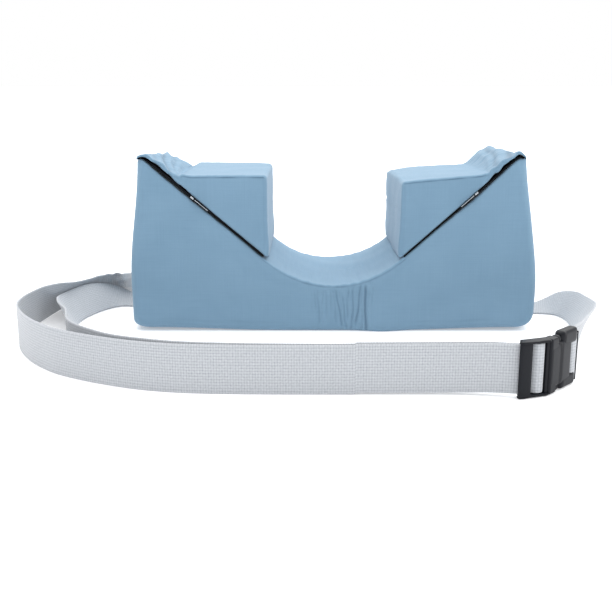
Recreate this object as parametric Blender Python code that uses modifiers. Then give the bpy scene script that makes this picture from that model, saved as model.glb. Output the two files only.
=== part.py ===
"""Head positioning wedge pillow: a foam base with a head cradle, two wedge pads on its slopes,
their zips, and a webbing strap with a side-release buckle. Z is up, and the origin is in the
middle of the base's underside. Sizes are in millimetres, and MM turns them into metres."""

import math

import bmesh
import bpy
import numpy as np
from mathutils import Matrix

MM = 0.001
GAP = 0.4  # air between neighbouring pieces

# Base
BASE_HALF_WIDTH = 192.0  # at its widest, a third of the way up
BASE_TOP_HALF_WIDTH = {-1: 181.5, 1: 177.0}
BASE_HALF_DEPTH = 74.0
CORNER_HEIGHT = 164.0
CORNER_DROP = {-1: 9.0, 1: 4.0}  # how far each outer corner sinks towards the back
CRADLE_RADIUS = 95.0
CRADLE_LOW = 44.7
SLOPE = {-1: 0.84, 1: 0.90}  # rise over run of the left and the right slope
FACE_CROWN = 1.6
END_ROUND = {"bottom": 18.0, "side": 8.0, "top": 4.0}
TOP_EDGE_ROUND = 4.5
BOTTOM_EDGE_ROUND = 6.0
FRONT_LIFT = 3.0  # the underside's front edge rises towards both ends

# Gathers sewn into the front face under the cradle, one row each
GATHER_COLUMNS = ("x", "lean", "depth", "half_width", "low", "high")
GATHERS = (
    (-17.0, 0.00, 0.9, 1.8, 8, 42),
    (5.0, -0.16, 0.8, 1.8, 6, 36),
    (18.5, 0.05, 0.7, 1.8, 10, 44),
    (24.0, 0.10, 1.6, 1.8, 8, 46),
    (31.0, -0.03, 1.7, 2.0, -4, 42),
)

# Wedge pads
PAD_INNER = 62.0  # the upright inner face, from the middle
PAD_OUTER = {-1: 181.5, 1: 176.0}  # where the empty flap ends, over the outer corner
PAD_TOP = {-1: (147.8, 147.8), 1: (142.0, 148.5)}  # height at the inner and the outer edge
PAD_TOP_SINK = {-1: 0.0, 1: 3.0}  # how far the top sinks towards the back
PAD_TOP_RUN = 70.0
PAD_ROUND = 5.0
PAD_CROWN = 0.8
FLAP_START, FLAP_FULL = 138.0, 152.0
FLAP_THICK = (4.6, 1.8)  # where the flap starts, and at its end
REST_GAP = 0.8  # pad over slope behind the zip
ZIP_GAP = {-1: 4.3, 1: 3.6}  # pad over slope along the front edge, upright
ZIP_RISE = {-1: 3.6, 1: 2.2}  # how far the flap lifts off near the corner
CORNER_GAP = 1.3  # flap over the outer corner
ZIP_DEPTH = 13.0  # width of the tape

# Zip slider and pull
SLIDER = {"along": 8.0, "depth": 4.2, "thick": 4.0, "x": 131.0}
PULL = {"length": 19.0, "depth": 3.4, "thick": 1.3}

# Webbing
WEB_WIDTH = 39.0
WEB_THICK = 1.8
GROOVE_DEPTH = 2.6
GROOVE_WIDTH = 41.5
UNDER_TURN = -4.1  # degrees that the strap runs off square under the base
UNDER_MIDDLE_Y = 24.8
UNDER_HALF = 183.5

# Each run is a table of its lower edge and of how the webbing leans from it. lean is in degrees
# from upright and towards is the compass of the lean, anticlockwise from +X
STRAP_COLUMNS = ("x", "y", "z", "lean", "towards")
RIGHT_RUN = (
    (186.8, -7.4, 0.9, 90, 86),
    (200.0, -8.4, 0.9, 90, 84),
    (210.0, -9.4, 0.9, 87, 79),
    (218.1, -10.5, 0.9, 78, 73),
    (225.0, -13.9, 0.9, 66, 66),
    (229.6, -20.0, 0.9, 60, 58),
    (232.2, -31.0, 0.9, 56, 50),
    (232.4, -44.0, 0.9, 57, 43),
    (231.0, -58.0, 0.9, 56, 36),
    (227.6, -73.0, 0.9, 52, 29),
    (221.5, -92.0, 1.0, 46, 22),
    (213.5, -115.0, 1.4, 38, 12),
    (206.5, -138.0, 1.8, 31, 5),
    (202.5, -160.0, 2.3, 22, 0),
    (199.5, -182.0, 2.6, 13, -5),
    (196.5, -200.0, 2.8, 6, -10),
    (191.8, -210.5, 2.9, 1, -20),
)
LEFT_RUN = (
    (-186.8, 19.2, 0.9, 90, 86),
    (-199.0, 20.2, 0.9, 89, 88),
    (-210.2, 21.5, 0.9, 85, 92),
    (-217.5, 22.0, 1.2, 77, 98),
    (-224.5, 19.6, 1.0, 66, 108),
    (-231.0, 12.7, 0.9, 58, 118),
    (-237.3, 2.4, 0.9, 54, 126),
    (-242.5, -10.5, 0.9, 54, 134),
    (-248.0, -30.5, 0.9, 55, 137),
    (-249.5, -52.0, 0.9, 52, 140),
    (-244.0, -75.0, 0.9, 44, 146),
    (-237.5, -96.0, 0.9, 36, 155),
    (-232.5, -118.0, 0.9, 24, 165),
    (-230.5, -138.0, 0.9, 11, 175),
    (-229.8, -155.0, 0.9, 4, 180),
    (-226.5, -171.0, 0.9, 2, 200),
    (-217.0, -188.0, 0.9, 2, 220),
    (-200.0, -206.0, 0.9, 2, 230),
    (-178.0, -223.5, 0.9, 2, 240),
    (-150.0, -237.0, 0.9, 0, 0),
    (-120.0, -245.5, 0.9, 0, 0),
    (-80.0, -249.6, 0.9, 0, 0),
    (-20.0, -251.6, 0.9, 0, 0),
    (50.0, -251.6, 1.2, 0, 0),
    (95.0, -252.4, 1.7, 0, 0),
    (115.0, -255.2, 2.4, 0, 0),
)
TAIL_RUN = (
    (115.0, -258.8, 2.4, 0, 0),
    (95.0, -256.6, 1.7, 0, 0),
    (50.0, -255.8, 1.2, 0, 0),
    (-20.0, -256.0, 0.9, 0, 0),
    (-80.0, -255.0, 0.9, 0, 0),
    (-122.0, -252.0, 0.9, 0, 0),
    (-158.0, -243.6, 0.9, 0, 0),
    (-193.0, -228.3, 0.9, 0, 0),
    (-222.8, -210.5, 0.9, 0, 0),
    (-240.0, -195.5, 0.9, 0, 0),
    (-259.0, -173.0, 0.9, 0, 0),
    (-275.5, -145.0, 0.9, 0, 0),
    (-285.5, -119.0, 0.9, 0, 0),
    (-289.5, -93.0, 0.9, 3, -5),
    (-290.3, -68.0, 0.9, 8, -10),
    (-290.0, -47.0, 0.9, 13, -20),
    (-287.8, -26.0, 0.9, 20, -30),
    (-285.2, -5.0, 0.9, 28, -40),
    (-282.0, 15.0, 0.9, 36, -48),
    (-276.0, 34.5, 0.9, 41, -55),
    (-267.0, 50.0, 0.9, 42, -62),
    (-256.0, 61.5, 0.9, 40, -68),
    (-243.0, 69.0, 0.9, 38, -75),
    (-229.0, 73.0, 0.9, 39, -84),
    (-214.0, 74.0, 0.9, 40, -90),
)

# Buckle. Its two halves meet at BUCKLE_AT and are turned differently, as it is bowed. Sizes are
# along the strap from there, across it (upright) and through it (to the outside)
BUCKLE_AT = (155.6, -255.4)
FRAME_TURN, HOUSING_TURN = 21.0, 47.0
BUCKLE_HALF_HEIGHT = 22.2
BUCKLE_MIDDLE = 22.3
BUCKLE_HALF_THICK = 4.3
BUCKLE_ROUND = 1.9
WAIST_HALF = 20.3
WAIST_HALF_THICK = 4.1
SLOT_HALF = 19.9
BAR_HALF_THICK = 1.4
END_BAR = (-22.5, -13.6)
END_BAR_BACK = 1.2  # the end bar stands forward, so that the webbing passes behind it
MIDDLE_BAR = (-9.6, -5.6)
SHOULDER = (-2.4, -0.9)
HOUSING = (1.8, 43.5)
HOUSING_FULL = 22.0  # from here to its end the housing is as high as the frame
HOUSING_SLOT = (30.5, 34.4)
HOUSING_BAR_END = 40.0
WINDOW = (10.0, 21.0)
POCKET_HALF, POCKET_HALF_THICK = 16.5, 2.3
ARM = (9.0, 13.5)
ARM_HALF_THICK = 1.8
PAST = 9.0  # how far cuts run through and out of the buckle
FRONT_LAYER, BACK_LAYER, NEAR_LAYER = 2.7, -3.0, -0.7  # where the webbing lies, through the buckle

COLOURS = {
    "cotton": (0.20, 0.33, 0.46, 0.85, 0.0),
    "zip_tape": (0.010, 0.014, 0.020, 0.80, 0.0),
    "metal": (0.72, 0.72, 0.74, 0.25, 1.0),
    "webbing": (0.60, 0.62, 0.67, 0.90, 0.0),
    "plastic": (0.035, 0.037, 0.045, 0.45, 0.0),
}


def clear_scene():
    for thing in list(bpy.data.objects):
        bpy.data.objects.remove(thing)


def new_collection(name):
    made = bpy.data.collections.new(name)
    bpy.context.scene.collection.children.link(made)
    return made


def material(node, finish):
    red, green, blue, rough, metallic = COLOURS[finish]
    made = bpy.data.materials.new(f"{node}_{finish}")
    made.use_nodes = True
    shader = made.node_tree.nodes["Principled BSDF"]
    shader.inputs["Base Color"].default_value = (red, green, blue, 1.0)
    shader.inputs["Roughness"].default_value = rough
    shader.inputs["Metallic"].default_value = metallic
    made.diffuse_color = (red, green, blue, 1.0)
    return made


def add_object(name, bm, collection, finish=None, smooth=True):
    """A mesh object from a bmesh that holds millimetres."""
    bmesh.ops.scale(bm, vec=(MM, MM, MM), verts=bm.verts)
    mesh = bpy.data.meshes.new(name)
    bm.to_mesh(mesh)
    bm.free()
    made = bpy.data.objects.new(name, mesh)
    collection.objects.link(made)
    if finish:
        mesh.materials.append(material(name, finish))
    if smooth:
        mesh.shade_smooth()
        mesh.set_sharp_from_angle(angle=math.radians(40))
    return made


def ease(low, high, x):
    """0 below low, 1 above high, and an S curve between them."""
    t = np.clip((np.asarray(x, float) - low) / (high - low), 0.0, 1.0)
    return t * t * (3.0 - 2.0 * t)


def edge_drop(distance, radius):
    """How far a quarter-round edge has fallen at this distance from its end."""
    inside = np.clip(radius - np.asarray(distance, float), 0.0, radius)
    return radius - np.sqrt(radius * radius - inside * inside)


def loft(rings, crown=0.0, cap_steps=(0.62, 0.28)):
    """A closed skin over rings of equal count, each end closed by shrinking rings and a middle
    point that stand crown millimetres proud."""
    bm = bmesh.new()

    def add_ring(points):
        return [bm.verts.new(tuple(point)) for point in points]

    def join(first, second):
        count = len(first)
        for i in range(count):
            j = (i + 1) % count
            bm.faces.new((first[i], first[j], second[j], second[i]))

    made = [add_ring(ring) for ring in rings]
    for first, second in zip(made, made[1:]):
        join(first, second)
    for end, inner in ((0, 1), (-1, -2)):
        ring, middle = rings[end], rings[end].mean(axis=0)
        outward = middle - rings[inner].mean(axis=0)
        outward = np.array([math.copysign(1.0, outward[0]), 0.0, 0.0]) * crown
        last = made[end]
        for step in cap_steps:
            shrunk = add_ring(middle + (ring - middle) * step + outward * (1.0 - step * step))
            join(last, shrunk) if end == -1 else join(shrunk, last)
            last = shrunk
        hub = bm.verts.new(tuple(middle + outward))
        for i in range(len(last)):
            j = (i + 1) % len(last)
            corners = (last[i], last[j], hub)
            bm.faces.new(corners if end == -1 else corners[::-1])
    bmesh.ops.recalc_face_normals(bm, faces=bm.faces)
    return bm


def section(half_depth, low, high, low_round, high_round, upright=7, top_at=3, low_at=3, arc=2):
    """A rounded rectangle in Y and Z: up the front, along the top, down the back, along the
    bottom. low and high are functions of y. Each point is (y, z). top_at and low_at are the
    points on top and underneath: how many, evenly apart, or their places from the middle."""
    height = high(0.0) - low(0.0)
    r_low = min(low_round, 0.45 * height)
    r_high = min(high_round, 0.45 * height)
    turn = np.linspace(0.0, math.pi / 2, arc + 1)

    def across(places, radius):
        even = isinstance(places, int)
        return np.linspace(-1.0, 1.0, places + 2)[1:-1] * (half_depth - radius) if even else places

    def wall(y_sign):
        y = y_sign * half_depth
        bottom, top = low(y) + r_low, high(y) - r_high
        return [(y, z) for z in np.linspace(bottom, top, upright + 1)[1:-1]]

    def corner(y_sign, is_top):
        r = r_high if is_top else r_low
        y_hub = y_sign * (half_depth - r)
        edge = high if is_top else low
        points = []
        for a in turn:
            y = y_hub + y_sign * r * math.cos(a)
            lift = r * (1.0 - math.sin(a))
            points.append((y, edge(y) + (-lift if is_top else lift)))
        return points

    front = corner(-1, False)[::-1] + wall(-1) + corner(-1, True)
    top = [(y, high(y)) for y in across(top_at, r_high)]
    back = corner(1, True)[::-1] + wall(1)[::-1] + corner(1, False)
    bottom = [(y, low(y)) for y in across(low_at, r_low)][::-1]
    return np.array(front + top + back + bottom)


def slope_height(x):
    """Height of the base's upper face along its front edge: an arc of the cradle's radius, then
    a straight slope that leaves the arc without a kink, up to the outer corner."""
    side = -1 if x < 0 else 1
    angle = math.atan(SLOPE[side])
    leaves = CRADLE_RADIUS * math.sin(angle)
    if abs(x) < leaves:
        return CRADLE_LOW + CRADLE_RADIUS - math.sqrt(CRADLE_RADIUS**2 - x * x)
    start = CRADLE_LOW + CRADLE_RADIUS * (1.0 - math.cos(angle))
    straight = start + SLOPE[side] * (abs(x) - leaves)
    over = max(straight - (CORNER_HEIGHT - 4.0), 0.0)
    return straight - over + 4.0 * math.tanh(over / 4.0)


def base_top(x, y):
    """The upper face, whose outer corners sink a little towards the back."""
    side = -1 if x < 0 else 1
    sink = CORNER_DROP[side] * float(ease(90.0, 175.0, abs(x)))
    return slope_height(x) - sink * float(ease(-60.0, BASE_HALF_DEPTH, y))


def side_width(side, z):
    """Half of the base's width at this height: drawn in towards the top."""
    return BASE_HALF_WIDTH - (BASE_HALF_WIDTH - BASE_TOP_HALF_WIDTH[side]) * ease(40.0, 175.0, z)


def base_stations():
    """Places along X where the base gets a ring: close together at gathers and at both ends."""
    ends = BASE_HALF_WIDTH - np.array([0.0, 0.8, 3.0, 7.0, 13.0])
    wide = np.arange(0.0, 176.0, 11.0)
    rows = [dict(zip(GATHER_COLUMNS, row)) for row in GATHERS]
    fine = [row["x"] + step * row["half_width"] for row in rows for step in (-1.6, 0.0, 1.6)]
    spread = np.concatenate([ends, -ends, wide, -wide])
    kept = [x for x in spread if min(abs(x - f) for f in fine) > 2.2]
    ordered = sorted(kept + fine)
    return [x for i, x in enumerate(ordered) if i == 0 or x - ordered[i - 1] > 0.5]


def press_gathers(points):
    """Creases in the front face, each an upright trough that fades out at both ends."""
    x, y, z = points.T
    for row in GATHERS:
        g = dict(zip(GATHER_COLUMNS, row))
        line = g["x"] + g["lean"] * (z - 25.0)
        across = np.exp(-(((x - line) / g["half_width"]) ** 2))
        along = ease(g["low"] - 3, g["low"] + 5, z) * (1.0 - ease(g["high"] - 8, g["high"], z))
        y = y + g["depth"] * across * along * (points[:, 1] < -BASE_HALF_DEPTH + 5.0)
    return np.stack([x, y, z], axis=1)


def base_rings():
    rings = []
    for x in base_stations():
        side = -1 if x < 0 else 1
        share = abs(x) / BASE_HALF_WIDTH
        drawn_in = float(ease(90.0, 150.0, abs(x)))  # the middle of the base keeps its width
        to_end = BASE_HALF_WIDTH - abs(x)
        at_top = x + (side * share * BASE_TOP_HALF_WIDTH[side] - x) * drawn_in
        half_depth = BASE_HALF_DEPTH - float(edge_drop(to_end, END_ROUND["side"]))
        lift = float(edge_drop(to_end, END_ROUND["bottom"]))
        fall = float(edge_drop(to_end, END_ROUND["top"]))
        front_lift = FRONT_LIFT * float(ease(50.0, 170.0, abs(x)))
        ring = section(
            half_depth,
            lambda y: lift + front_lift * float(ease(-52.0, -BASE_HALF_DEPTH, y)),
            lambda y: base_top(at_top, y) - fall,
            BOTTOM_EDGE_ROUND,
            TOP_EDGE_ROUND,
            low_at=(-52.0, -25.0, 25.0, 52.0),
        )
        y, z = ring.T
        middle = base_top(at_top, 0.0) / 2
        swell = np.clip(1.0 - ((z - middle) / middle) ** 2, 0.0, 1.0)
        y = y + np.sign(y) * FACE_CROWN * swell * (np.abs(y) > half_depth - 0.1)
        wide = side * share * side_width(side, z)
        points = np.stack([x + (wide - x) * drawn_in, y, z], axis=1)
        rings.append(press_gathers(points))
    return rings


def zip_gap(side, x):
    """Upright distance from slope to pad along the front edge: more where the flap lifts."""
    lifts = math.exp(-(((x - 157.0) / 8.0) ** 2))
    closes = float(ease(163.0, 176.0, x))
    return (ZIP_GAP[side] + ZIP_RISE[side] * lifts) * (1.0 - closes) + CORNER_GAP * closes


def flap_wave(side, x, y):
    """Puckers of the empty flap, only ever upwards, and still at its two ends."""
    swing = math.sin(y / 11.0 + 2.0 * side) + 0.6 * math.sin(y / 5.3 + x / 9.0)
    grows, stills = float(ease(FLAP_START, FLAP_FULL + 6.0, x)), float(ease(168.0, 177.0, x))
    return 0.5 * (1.6 + swing) * grows * (1.0 - stills)


def pad_low(side, x, y):
    """Underside of a pad: just over the slope, and higher along the front for the zip."""
    step = -BASE_HALF_DEPTH + ZIP_DEPTH
    behind = float(ease(step, step + 4.0, y))
    clear = zip_gap(side, x) * (1.0 - behind) + REST_GAP * behind
    return base_top(side * x, y) + clear + flap_wave(side, x, y)


def pad_high(side, x, y):
    """Upper side: the pad's own top, running out into the thin flap over the corner."""
    inner, outer = PAD_TOP[side]
    run = min(max((x - PAD_INNER) / PAD_TOP_RUN, 0.0), 1.0)
    crown = PAD_CROWN * math.cos(math.pi * y / (2.2 * BASE_HALF_DEPTH)) * math.sin(math.pi * run)
    sink = PAD_TOP_SINK[side] * float(ease(-BASE_HALF_DEPTH, BASE_HALF_DEPTH, y)) * run
    flat = inner + (outer - inner) * (x - PAD_INNER) / PAD_TOP_RUN + crown - sink
    thin = float(ease(FLAP_FULL, PAD_OUTER[side], x))
    flap = pad_low(side, x, y) + FLAP_THICK[0] * (1.0 - thin) + FLAP_THICK[1] * thin
    soft = 2.0
    most = max(flat, flap)
    blended = most + soft * math.log(math.exp((flat - most) / soft) + math.exp((flap - most) / soft))
    return blended + (flap - blended) * float(ease(FLAP_START, FLAP_FULL, x))


def pad_rings(side):
    inner = PAD_INNER + np.array([0.0, 0.5, 1.8, 5.0])
    middle = np.arange(PAD_INNER + 13.0, FLAP_START, 11.0)
    outer = np.linspace(FLAP_START, PAD_OUTER[side] - 2.0, 11)
    step = -BASE_HALF_DEPTH + ZIP_DEPTH
    rings = []
    for x in np.concatenate([inner, middle, outer, [PAD_OUTER[side] - 0.7, PAD_OUTER[side]]]):
        face_cut = float(edge_drop(x - PAD_INNER, PAD_ROUND))
        tip_cut = float(edge_drop(PAD_OUTER[side] - x, 2.0))
        ring = section(
            BASE_HALF_DEPTH - face_cut - tip_cut,
            lambda y: pad_low(side, x, y) + 0.5 * face_cut + 0.2 * tip_cut,
            lambda y: pad_high(side, x, y) - face_cut - 0.3 * tip_cut,
            2.2,
            4.5,
            upright=5,
            top_at=7,
            low_at=(step - 0.5, step + 4.5, -38.0, -13.0, 13.0, 38.0, 60.0),
        )
        y, z = ring.T
        rings.append(np.stack([np.full_like(y, side * x), y, z], axis=1))
    return rings


def tape_rings(side):
    """The zip tape fills the gap under the pad's front edge from the pad's tip to the corner."""
    rings = []
    front, back = -BASE_HALF_DEPTH - 0.4, -BASE_HALF_DEPTH + ZIP_DEPTH - 1.0
    last = PAD_OUTER[side] - 6.0
    for x in np.concatenate([np.arange(66.0, FLAP_START, 12.0), np.linspace(FLAP_START, last, 11)]):
        low = base_top(side * x, front) + GAP
        high = base_top(side * x, front) + zip_gap(side, x) - GAP
        corners = [(front, low), (front, high), (back, high), (back, low)]
        rings.append(np.array([(side * x, y, z) for y, z in corners]))
    return rings


def rounded_box(size, bevel, segments=2):
    """A box of these three sizes about the origin, its edges rounded unless bevel is 0."""
    bm = bmesh.new()
    bmesh.ops.create_cube(bm, size=1.0)
    bmesh.ops.scale(bm, vec=size, verts=bm.verts)
    if bevel > 0:
        edges = bm.edges[:]
        bmesh.ops.bevel(bm, geom=edges, offset=bevel, segments=segments, profile=0.5, affect="EDGES")
    return bm


def place(bm, matrix):
    bmesh.ops.transform(bm, matrix=matrix, verts=bm.verts)
    return bm


def add_zip_metal(side, label, parts):
    """The slider sits on the tape's front edge, and its pull hangs down the slope from it."""
    angle = math.atan(SLOPE[side]) * side
    x = side * SLIDER["x"]
    z = base_top(x, -BASE_HALF_DEPTH) + 2.4
    front = -BASE_HALF_DEPTH - 0.4
    body = rounded_box((SLIDER["along"], SLIDER["depth"], SLIDER["thick"]), 1.0)
    turned = Matrix.Rotation(-angle, 4, "Y")
    at = Matrix.Translation((x, front - GAP - SLIDER["depth"] / 2, z))
    add_object(f"zip_slider_{label}", place(body, at @ turned), parts, "metal")
    reach = SLIDER["along"] / 2 + GAP + PULL["length"] / 2
    pull = rounded_box((PULL["length"], PULL["depth"], PULL["thick"]), 0.45, 1)
    along = (-side * reach * math.cos(angle), 0.0, -reach * math.sin(abs(angle)))
    at = Matrix.Translation((x + along[0], front - GAP - PULL["depth"] / 2 - 0.6, z + along[2] + 0.2))
    add_object(f"zip_pull_{label}", place(pull, at @ turned), parts, "metal")


def through_points(points, spacing):
    """A smooth Catmull-Rom curve through rows of numbers, resampled so that neighbouring rows are
    about spacing apart in their first three numbers."""
    p = np.array(points, float)
    p = np.vstack([2 * p[0] - p[1], p, 2 * p[-1] - p[-2]])
    t = np.linspace(0.0, 1.0, 24, endpoint=False)[:, None]
    rows = []
    for a, b, c, d in zip(p, p[1:], p[2:], p[3:]):
        rows.append(
            0.5 * (2 * b + (c - a) * t + (2 * a - 5 * b + 4 * c - d) * t**2 + (3 * b - a - 3 * c + d) * t**3)
        )
    rows = np.vstack(rows + [p[-2:-1]])
    run = np.concatenate([[0.0], np.cumsum(np.linalg.norm(np.diff(rows[:, :3], axis=0), axis=1))])
    even = np.linspace(0.0, run[-1], max(int(round(run[-1] / spacing)), 2) + 1)
    return np.stack([np.interp(even, run, column) for column in rows.T], axis=1)


def edges_of(table):
    """Rows of a strap table as its lower edge, then the unit direction across the webbing."""
    rows = []
    for row in table:
        r = dict(zip(STRAP_COLUMNS, row))
        lean, towards = math.radians(r["lean"]), math.radians(r["towards"])
        across = (math.sin(lean) * math.cos(towards), math.sin(lean) * math.sin(towards), math.cos(lean))
        rows.append((r["x"], r["y"], r["z"], *across))
    return rows


def buckle_point(along, through):
    """A row for the webbing where it passes through the buckle, upright."""
    turn = math.radians(FRAME_TURN if along < 0 else HOUSING_TURN)
    x = BUCKLE_AT[0] + along * math.cos(turn) + through * math.sin(turn)
    y = BUCKLE_AT[1] + along * math.sin(turn) - through * math.cos(turn)
    return (x, y, BUCKLE_MIDDLE - WEB_WIDTH / 2, 0.0, 0.0, 1.0)


def thin_out(rows, turn=7.0, longest=16.0):
    """Drops rows of a fine curve where it runs straight: a row stays once the edge has turned or
    the webbing has leaned by turn degrees since the last one, or run on by longest."""
    steps = np.diff(rows[:, :2], axis=0)
    heading = np.unwrap(np.arctan2(steps[:, 1], steps[:, 0]))
    heading = np.degrees(np.append(heading, heading[-1]))
    kept = [0]
    for i in range(1, len(rows) - 1):
        leaned = np.degrees(np.linalg.norm(rows[i, 3:] - rows[kept[-1], 3:]))
        turned = abs(heading[i] - heading[kept[-1]])
        run = np.linalg.norm(rows[i, :3] - rows[kept[-1], :3])
        if max(turned, leaned) > turn or run > longest:
            kept.append(i)
    return rows[kept + [len(rows) - 1]]


def add_strap(name, rows, parts):
    """Webbing as an open sheet of three rows across, given its thickness by Solidify."""
    rows = thin_out(through_points(rows, 1.2))
    lower, across = rows[:, :3], rows[:, 3:]
    across = across / np.linalg.norm(across, axis=1)[:, None]
    bm = bmesh.new()
    bmesh.ops.create_grid(bm, x_segments=2, y_segments=len(rows) - 1, size=1.0)
    for vert in bm.verts:
        i = round((vert.co.y + 1.0) / 2.0 * (len(rows) - 1))
        vert.co = tuple(lower[i] + across[i] * WEB_WIDTH * (vert.co.x + 1.0) / 2.0)
    made = add_object(name, bm, parts, "webbing")
    wall = made.modifiers.new("thickness", "SOLIDIFY")
    wall.thickness = WEB_THICK * MM
    wall.offset = 0.0
    wall.use_even_offset = True


def add_straps(parts):
    turn = math.radians(UNDER_TURN)
    square = (-math.sin(turn), math.cos(turn), 0.0)
    rows = []
    for x in np.linspace(-UNDER_HALF, UNDER_HALF, 5):
        y = UNDER_MIDDLE_Y + math.tan(turn) * x - WEB_WIDTH / 2 * math.cos(turn)
        rows.append((x - WEB_WIDTH / 2 * square[0], y, WEB_THICK / 2, *square))
    add_strap("strap_under", rows, parts)

    slot, bar_end = sum(HOUSING_SLOT) / 2, HOUSING_BAR_END
    sewn_loop = [
        buckle_point(bar_end + 8.0, BACK_LAYER),
        buckle_point(slot + 4.5, BACK_LAYER),
        buckle_point(slot + 1.6, BACK_LAYER + 0.3),
        buckle_point(slot, BACK_LAYER + 1.9),
        buckle_point(slot, FRONT_LAYER - 1.9),
        buckle_point(slot + 1.8, FRONT_LAYER),
        buckle_point(bar_end - 0.5, FRONT_LAYER),
        buckle_point(bar_end + 1.6, FRONT_LAYER - 1.0),
        buckle_point(bar_end + 4.0, NEAR_LAYER + 0.7),
        buckle_point(bar_end + 7.0, NEAR_LAYER),
        buckle_point(bar_end + 10.0, NEAR_LAYER),
    ]
    add_strap("strap_right", edges_of(RIGHT_RUN) + sewn_loop, parts)

    inner_slot = (MIDDLE_BAR[1] + SHOULDER[0]) / 2
    over_bar = [
        buckle_point(inner_slot, BACK_LAYER + 0.6),
        buckle_point(inner_slot, FRONT_LAYER - 1.9),
        buckle_point(inner_slot - 1.9, FRONT_LAYER),
        buckle_point(MIDDLE_BAR[0] + 0.6, FRONT_LAYER),
        buckle_point(MIDDLE_BAR[0] - 1.4, FRONT_LAYER - 0.9),
        buckle_point(END_BAR[1] - 0.4, NEAR_LAYER + 0.2),
        buckle_point(END_BAR[0] + 0.5, NEAR_LAYER),
    ]
    add_strap("strap_tail", over_bar + edges_of(TAIL_RUN), parts)
    behind_bar = [
        buckle_point(END_BAR[0] + 0.5, BACK_LAYER - 0.1),
        buckle_point(END_BAR[1], BACK_LAYER),
        buckle_point(inner_slot - 3.0, BACK_LAYER),
    ]
    add_strap("strap_left", edges_of(LEFT_RUN) + behind_bar, parts)


def hide_helper(helper):
    helper.hide_render = True
    helper.display_type = "WIRE"
    return helper


def boolean(target, other, operation):
    cut = target.modifiers.new(other.name, "BOOLEAN")
    cut.operation = operation
    cut.object = other
    cut.solver = "EXACT"


def carrier_of(name, turn, parts):
    """An empty that stands one half of the buckle on its edge at its place in the strap."""
    made = bpy.data.objects.new(name, None)
    parts.objects.link(made)
    made.location = (BUCKLE_AT[0] * MM, BUCKLE_AT[1] * MM, BUCKLE_MIDDLE * MM)
    made.rotation_euler = (0.0, 0.0, math.radians(turn))
    return made


def buckle_block(name, ranges, bevel, collection, carrier, finish=None):
    """A box in a carrier's frame, from its ranges along, across and through."""
    along, across, through = ranges
    low = np.array([along[0], -through[1], across[0]])
    high = np.array([along[1], -through[0], across[1]])
    bm = rounded_box(tuple(high - low), bevel)
    bmesh.ops.translate(bm, vec=tuple((high + low) / 2), verts=bm.verts)
    made = add_object(name, bm, collection, finish, smooth=bevel > 0)
    made.parent = carrier
    return made


def add_male(parts, cutters, frame_place, housing_place):
    """Adjuster frame: an end bar that stands forward, a thin middle bar that the webbing turns
    over, and two sprung arms that reach into the housing."""
    thick, full = (-BUCKLE_HALF_THICK, BUCKLE_HALF_THICK), (-BUCKLE_HALF_HEIGHT, BUCKLE_HALF_HEIGHT)
    outline = ((END_BAR[0], SHOULDER[1]), full, thick)
    male = buckle_block("buckle_male", outline, BUCKLE_ROUND, parts, frame_place, "plastic")
    slot, bar = (-SLOT_HALF, SLOT_HALF), (MIDDLE_BAR[0] - 1, MIDDLE_BAR[1] + 1)
    end_bar = (END_BAR[0] - PAST, END_BAR[1] + 1)
    holes = {
        "male_outer_slot": ((END_BAR[1], MIDDLE_BAR[0]), slot, (-PAST, PAST)),
        "male_inner_slot": ((MIDDLE_BAR[1], SHOULDER[0]), slot, (-PAST, PAST)),
        "male_under_end_bar": (end_bar, slot, (-PAST, END_BAR_BACK)),
        "male_over_middle_bar": (bar, slot, (BAR_HALF_THICK, PAST)),
        "male_under_middle_bar": (bar, slot, (-PAST, -BAR_HALF_THICK)),
    }
    for name, ranges in holes.items():
        hole = hide_helper(buckle_block(name, ranges, 0, cutters, frame_place))
        boolean(male, hole, "DIFFERENCE")
    for side, label in ((-1, "low"), (1, "high")):
        half = ARM_HALF_THICK
        arm_across = sorted(side * edge for edge in ARM)
        arm = ((SHOULDER[1] - 0.6, WINDOW[1] - 1.4), arm_across, (-half, half))
        button_across = sorted((side * (ARM[1] - 0.5), side * (WAIST_HALF + 1.2)))
        button = ((WINDOW[0] + 1.1, WINDOW[1] - 1.2), button_across, (-half - 0.1, half + 0.1))
        for name, ranges in ((f"male_arm_{label}", arm), (f"male_button_{label}", button)):
            piece = hide_helper(buckle_block(name, ranges, 0, cutters, housing_place))
            boolean(male, piece, "UNION")


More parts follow.
